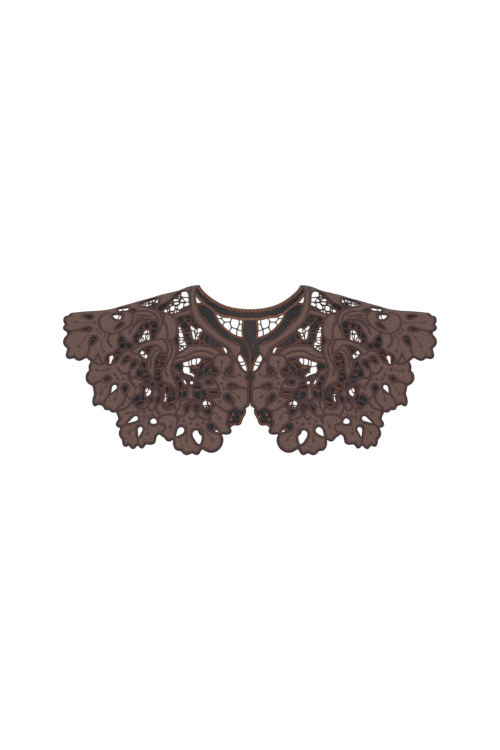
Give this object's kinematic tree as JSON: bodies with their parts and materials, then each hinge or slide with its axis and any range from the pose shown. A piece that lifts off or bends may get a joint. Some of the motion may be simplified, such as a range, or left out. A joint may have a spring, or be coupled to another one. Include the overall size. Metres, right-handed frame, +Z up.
{
  "type": "detachable lace collar",
  "caption": "Cape-like detachable collar of cutwork lace sprays and leaves round a neck band, open at the centre front.",
  "frame": {"origin": "midway between the two corners of the neck, on the shoulder ridge, where the collar sits on the neck and shoulders", "axes": "+X towards the wearer's left shoulder, -Y to the front, +Z up"},
  "size_m": [0.4686, 0.2274, 0.2137],
  "materials": {
    "lace": "matt woven cloth with satin stitched edges",
    "band": "matt woven cloth with satin stitched edges",
    "clasp": "dark lacquered metal"
  },
  "bodies": {
    "root": {"shoulder_spray_left": "lace", "shoulder_spray_right": "lace", "side_spray_left": "lace", "side_spray_right": "lace", "corner_spray_left": "lace", "corner_spray_right": "lace", "hem_spray_left": "lace", "hem_spray_right": "lace", "centre_spray_left": "lace", "centre_spray_right": "lace", "shoulder_boss_left": "lace", "shoulder_boss_right": "lace", "elbow_boss_left": "lace", "elbow_boss_right": "lace", "upper_leaves_left": "lace", "upper_leaves_right": "lace", "stem_left": "lace", "stem_right": "lace", "arch_leaf_left": "lace", "arch_leaf_right": "lace", "centre_boss_left": "lace", "centre_boss_right": "lace", "hem_tulip_left": "lace", "hem_tulip_right": "lace", "corner_tulip_left": "lace", "corner_tulip_right": "lace", "back_shoulder_spray_left": "lace", "back_shoulder_spray_right": "lace", "back_side_spray_left": "lace", "back_side_spray_right": "lace", "back_corner_spray_left": "lace", "back_corner_spray_right": "lace", "back_hem_spray_left": "lace", "back_hem_spray_right": "lace", "back_centre_spray_left": "lace", "back_centre_spray_right": "lace", "back_neck_leaf_left": "lace", "back_neck_leaf_right": "lace", "back_shoulder_leaves_left": "lace", "back_shoulder_leaves_right": "lace", "back_middle_left": "lace", "back_middle_right": "lace", "back_centre_boss_left": "lace", "back_centre_boss_right": "lace", "neck_band": "band", "back_centre_leaf": "lace", "front_clasp": "clasp"}
  },
  "joints": []
}
